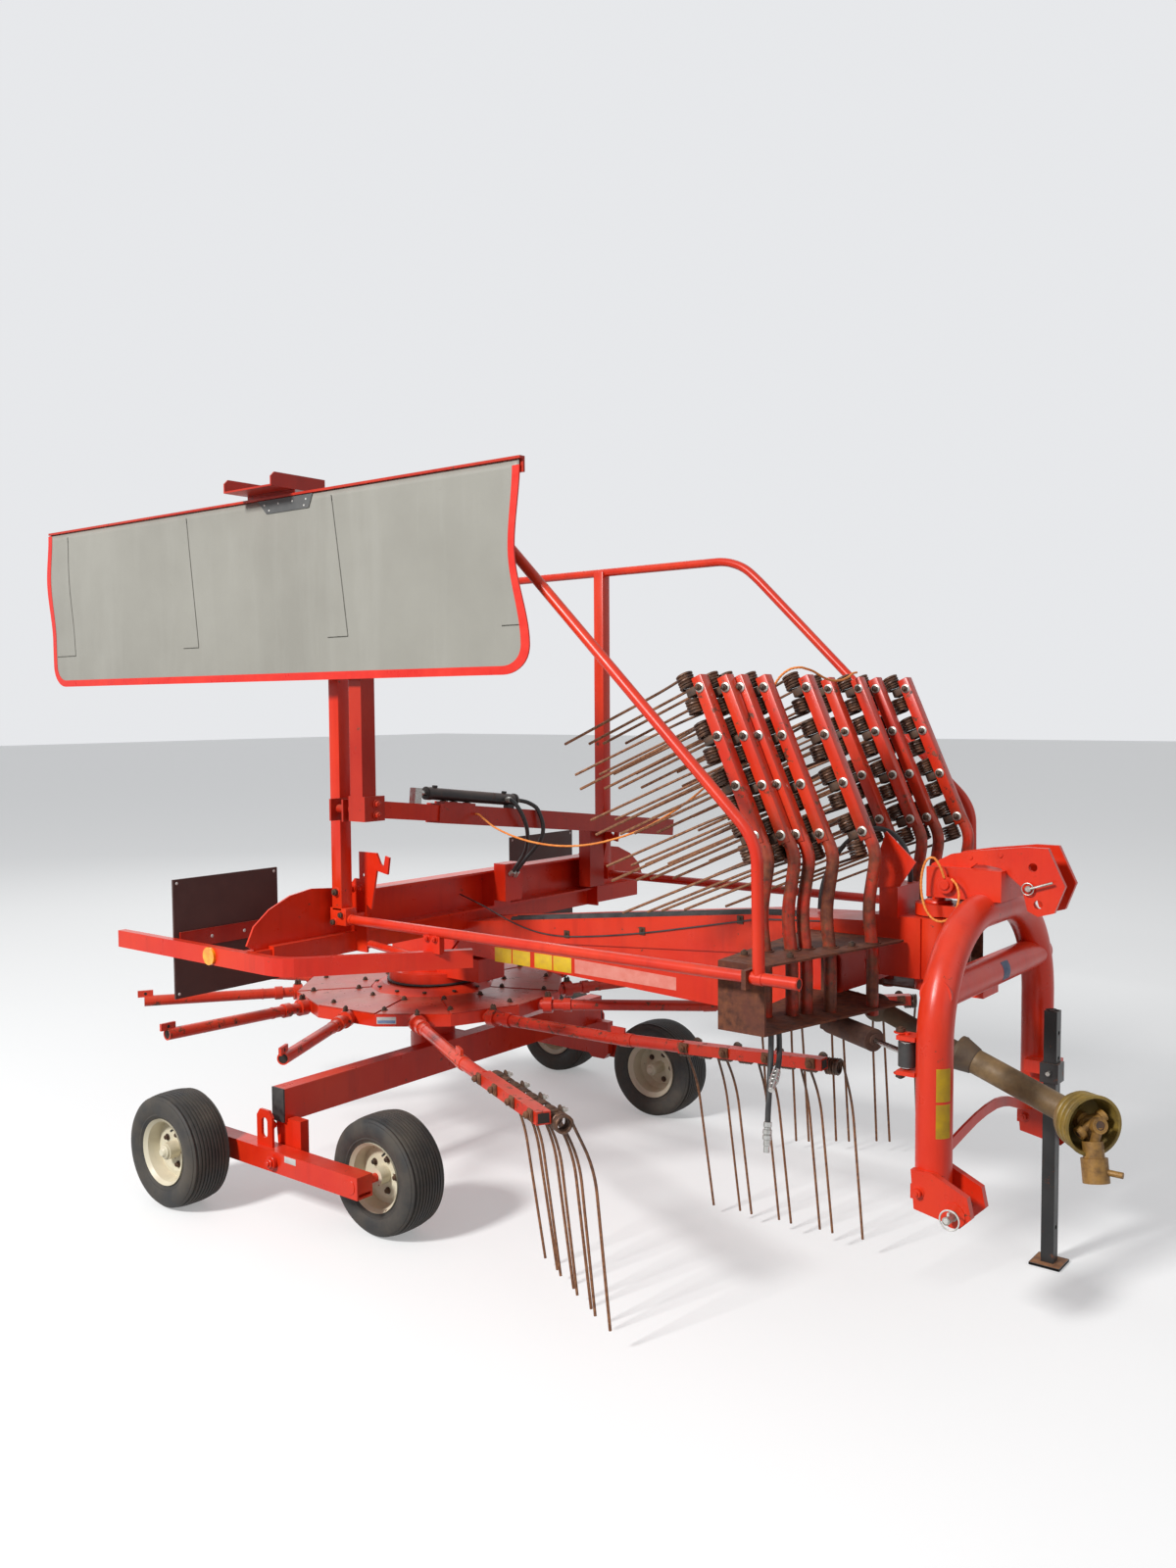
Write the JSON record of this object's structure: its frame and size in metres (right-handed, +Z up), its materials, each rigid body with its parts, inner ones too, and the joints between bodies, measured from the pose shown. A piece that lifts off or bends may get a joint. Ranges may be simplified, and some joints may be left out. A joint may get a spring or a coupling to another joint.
{
  "type": "rotary hay rake",
  "caption": "Towed rotary hay rake: tined rotor with stored arms, bogie wheels, folded side guards, folded curtain on a sliding boom, headstock with parking stand",
  "frame": {"origin": "On the ground, in the middle of the machine's box", "axes": "+X forward to the tractor, +Y to the left, +Z up"},
  "size_m": [4.0735, 2.319, 2.56],
  "materials": {
    "red_paint": "weathered",
    "cream_rim": "weathered",
    "tyre_rubber": "matte",
    "black_steel": "satin",
    "tine_steel": "rusty",
    "rusty_steel": "rusty",
    "bright_steel": "polished",
    "curtain_cloth": "matte",
    "board_brown": "matte",
    "amber": "gloss",
    "yellow_plastic": "dirty",
    "shaft_steel": "greasy",
    "seal_rubber": "matte",
    "rope_orange": "matte",
    "hose_rubber": "satin"
  },
  "bodies": {
    "frame": {"axle_beam": "red_paint", "axle_end_caps": "black_steel", "bogie_brackets": "red_paint", "gearbox": "red_paint", "disc_seal": "seal_rubber", "main_frame": "red_paint", "cross_beam": "red_paint", "board_carriers": "red_paint", "marker_boards": "board_brown", "guard_bar": "red_paint", "amber_reflector": "amber", "side_guard_right": "red_paint", "boom_outer": "red_paint", "boom_cylinder": "black_steel", "storage_rack": "rusty_steel", "stored_arms": "red_paint", "stored_tines": "tine_steel", "frame_head": "red_paint", "sheet_shield": "red_paint", "pto_shaft": "shaft_steel", "pto_guard": "yellow_plastic", "pto_yoke": "yellow_plastic", "orange_rope": "rope_orange", "boom_hose_upper": "hose_rubber", "boom_hose_lower": "hose_rubber", "head_hose": "hose_rubber", "rack_hose_long": "hose_rubber", "rack_hose_short": "hose_rubber", "hose_couplers": "bright_steel"},
    "rotor": {"rotor_disc": "red_paint", "rotor_inner_arms": "red_paint", "rotor_outer_arms": "red_paint", "rotor_tines": "tine_steel"},
    "bogie_right": {"bogie_right": "red_paint"},
    "bogie_left": {"bogie_left": "red_paint"},
    "wheel_rear_right": {"tyre_rear_right": "tyre_rubber", "rim_rear_right": "cream_rim"},
    "wheel_front_right": {"tyre_front_right": "tyre_rubber", "rim_front_right": "cream_rim"},
    "wheel_rear_left": {"tyre_rear_left": "tyre_rubber", "rim_rear_left": "cream_rim"},
    "wheel_front_left": {"tyre_front_left": "tyre_rubber", "rim_front_left": "cream_rim"},
    "guard_left": {"side_guard_left": "red_paint"},
    "curtain_boom": {"boom_inner": "red_paint", "boom_rod": "bright_steel", "curtain_carrier": "red_paint", "curtain": "curtain_cloth"},
    "headstock": {"headstock": "red_paint", "top_link_bracket": "red_paint", "lower_hitch_pins": "bright_steel", "rope_loop": "rope_orange"},
    "damper_barrel": {"damper_barrel": "rusty_steel"},
    "damper_rod": {"damper_rod": "bright_steel"},
    "stand": {"parking_stand": "black_steel"}
  },
  "joints": [
    {"name": "rotor_turn", "type": "hinge", "parent": "frame", "child": "rotor", "pos_m": [-0.712, 0, 0.63], "axis": [0, 0, 1], "continuous": true},
    {"name": "bogie_right_tilt", "type": "hinge", "parent": "frame", "child": "bogie_right", "pos_m": [-0.522, -0.937, 0.203], "axis": [0, 1, 0], "range_deg": [-12, 12]},
    {"name": "bogie_left_tilt", "type": "hinge", "parent": "frame", "child": "bogie_left", "pos_m": [-0.522, 0.937, 0.203], "axis": [0, 1, 0], "range_deg": [-12, 12]},
    {"name": "wheel_rear_right_roll", "type": "hinge", "parent": "bogie_right", "child": "wheel_rear_right", "pos_m": [-0.913, -1.077, 0.203], "axis": [0, 1, 0], "continuous": true},
    {"name": "wheel_front_right_roll", "type": "hinge", "parent": "bogie_right", "child": "wheel_front_right", "pos_m": [-0.131, -0.797, 0.203], "axis": [0, 1, 0], "continuous": true},
    {"name": "wheel_rear_left_roll", "type": "hinge", "parent": "bogie_left", "child": "wheel_rear_left", "pos_m": [-0.913, 1.077, 0.203], "axis": [0, 1, 0], "continuous": true},
    {"name": "wheel_front_left_roll", "type": "hinge", "parent": "bogie_left", "child": "wheel_front_left", "pos_m": [-0.131, 0.797, 0.203], "axis": [0, 1, 0], "continuous": true},
    {"name": "guard_left_fold", "type": "hinge", "parent": "frame", "child": "guard_left", "pos_m": [-0.397, 0.748, 1.034], "axis": [-1, 0, 0], "range_deg": [0, 90]},
    {"name": "boom_slide", "type": "slide", "parent": "frame", "child": "curtain_boom", "axis": [0, -0.9938, 0.1115], "range_m": [0, 0.35]},
    {"name": "headstock_yaw", "type": "hinge", "parent": "frame", "child": "headstock", "pos_m": [1.468, 0, 1.03], "axis": [0, 0, 1], "range_deg": [-12, 12]},
    {"name": "damper_swing", "type": "hinge", "parent": "frame", "child": "damper_barrel", "pos_m": [1.223, -0.25, 0.812], "axis": [0, 0, 1], "range_deg": [-9, 9]},
    {"name": "damper_stroke", "type": "slide", "parent": "damper_barrel", "child": "damper_rod", "axis": [0.8993, -0.436, -0.0327], "range_m": [-0.072, 0.072]},
    {"name": "stand_slide", "type": "slide", "parent": "headstock", "child": "stand", "axis": [0, 0, 1], "range_m": [0, 0.35]}
  ],
  "couplings": [
    {"joint": "damper_swing", "follows": "headstock_yaw", "ratio": 0.6965},
    {"joint": "damper_stroke", "follows": "headstock_yaw", "m_per_rad": 0.3318}
  ]
}
